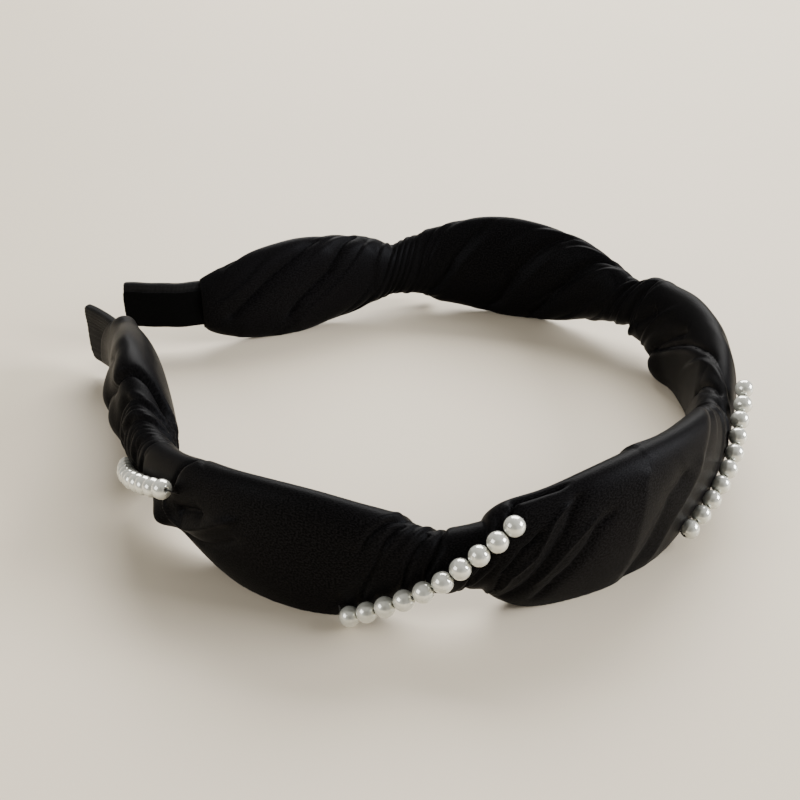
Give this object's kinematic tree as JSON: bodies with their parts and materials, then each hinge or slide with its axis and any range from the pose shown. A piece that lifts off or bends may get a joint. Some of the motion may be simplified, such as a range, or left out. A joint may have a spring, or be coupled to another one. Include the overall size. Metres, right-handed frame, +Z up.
{
  "type": "headband",
  "caption": "Gathered black satin headband on a springy hoop, with slanting strands of faux pearls across its waists and ribbon-wrapped ends that spring apart.",
  "frame": {"origin": "under the middle of the headband's bounding box, on the surface that it lies on", "axes": "+X from the open end towards the crown, +Y towards the left arm, +Z up; the band lies on its edge, as it is put down on a table"},
  "size_m": [0.1674, 0.1548, 0.0271],
  "materials": {
    "satin": "gathered black satin with a soft sheen and a very fine weave",
    "ribbon": "fine ribbed black ribbon",
    "velvet": "deep black short-pile velvet",
    "hoop": "plain black moulded strip",
    "pearl": "pearlescent ivory coating"
  },
  "bodies": {
    "crown": {"crown_hoop": "hoop", "crown_sleeve": "satin", "strand_3_bead_1": "pearl", "strand_3_bead_2": "pearl", "strand_3_bead_3": "pearl", "strand_3_bead_4": "pearl", "strand_3_bead_5": "pearl", "strand_3_bead_6": "pearl", "strand_3_bead_7": "pearl", "strand_3_bead_8": "pearl", "strand_3_bead_9": "pearl", "strand_3_bead_10": "pearl"},
    "left_arm": {"left_hoop": "hoop", "left_sleeve": "satin", "left_end_ribbon": "ribbon", "left_end_lining": "velvet", "strand_4_bead_1": "pearl", "strand_4_bead_2": "pearl", "strand_4_bead_3": "pearl", "strand_4_bead_4": "pearl", "strand_4_bead_5": "pearl", "strand_4_bead_6": "pearl", "strand_4_bead_7": "pearl", "strand_4_bead_8": "pearl", "strand_4_bead_9": "pearl", "strand_4_bead_10": "pearl", "strand_5_bead_1": "pearl", "strand_5_bead_2": "pearl", "strand_5_bead_3": "pearl", "strand_5_bead_4": "pearl", "strand_5_bead_5": "pearl", "strand_5_bead_6": "pearl", "strand_5_bead_7": "pearl", "strand_5_bead_8": "pearl", "strand_5_bead_9": "pearl", "strand_5_bead_10": "pearl"},
    "right_arm": {"right_hoop": "hoop", "right_sleeve": "satin", "right_end_ribbon": "ribbon", "right_end_lining": "velvet", "strand_1_bead_1": "pearl", "strand_1_bead_2": "pearl", "strand_1_bead_3": "pearl", "strand_1_bead_4": "pearl", "strand_1_bead_5": "pearl", "strand_1_bead_6": "pearl", "strand_1_bead_7": "pearl", "strand_1_bead_8": "pearl", "strand_1_bead_9": "pearl", "strand_1_bead_10": "pearl", "strand_2_bead_1": "pearl", "strand_2_bead_2": "pearl", "strand_2_bead_3": "pearl", "strand_2_bead_4": "pearl", "strand_2_bead_5": "pearl", "strand_2_bead_6": "pearl", "strand_2_bead_7": "pearl", "strand_2_bead_8": "pearl", "strand_2_bead_9": "pearl", "strand_2_bead_10": "pearl"}
  },
  "joints": [
    {"name": "left_spread", "type": "hinge", "parent": "crown", "child": "left_arm", "pos_m": [0.0663, 0.0354, 0.012], "axis": [0, 0, -1], "range_deg": [0, 25], "stiffness_Nm_per_rad": 0.6},
    {"name": "right_spread", "type": "hinge", "parent": "crown", "child": "right_arm", "pos_m": [0.0663, -0.0354, 0.012], "axis": [0, 0, 1], "range_deg": [0, 25], "stiffness_Nm_per_rad": 0.6}
  ]
}
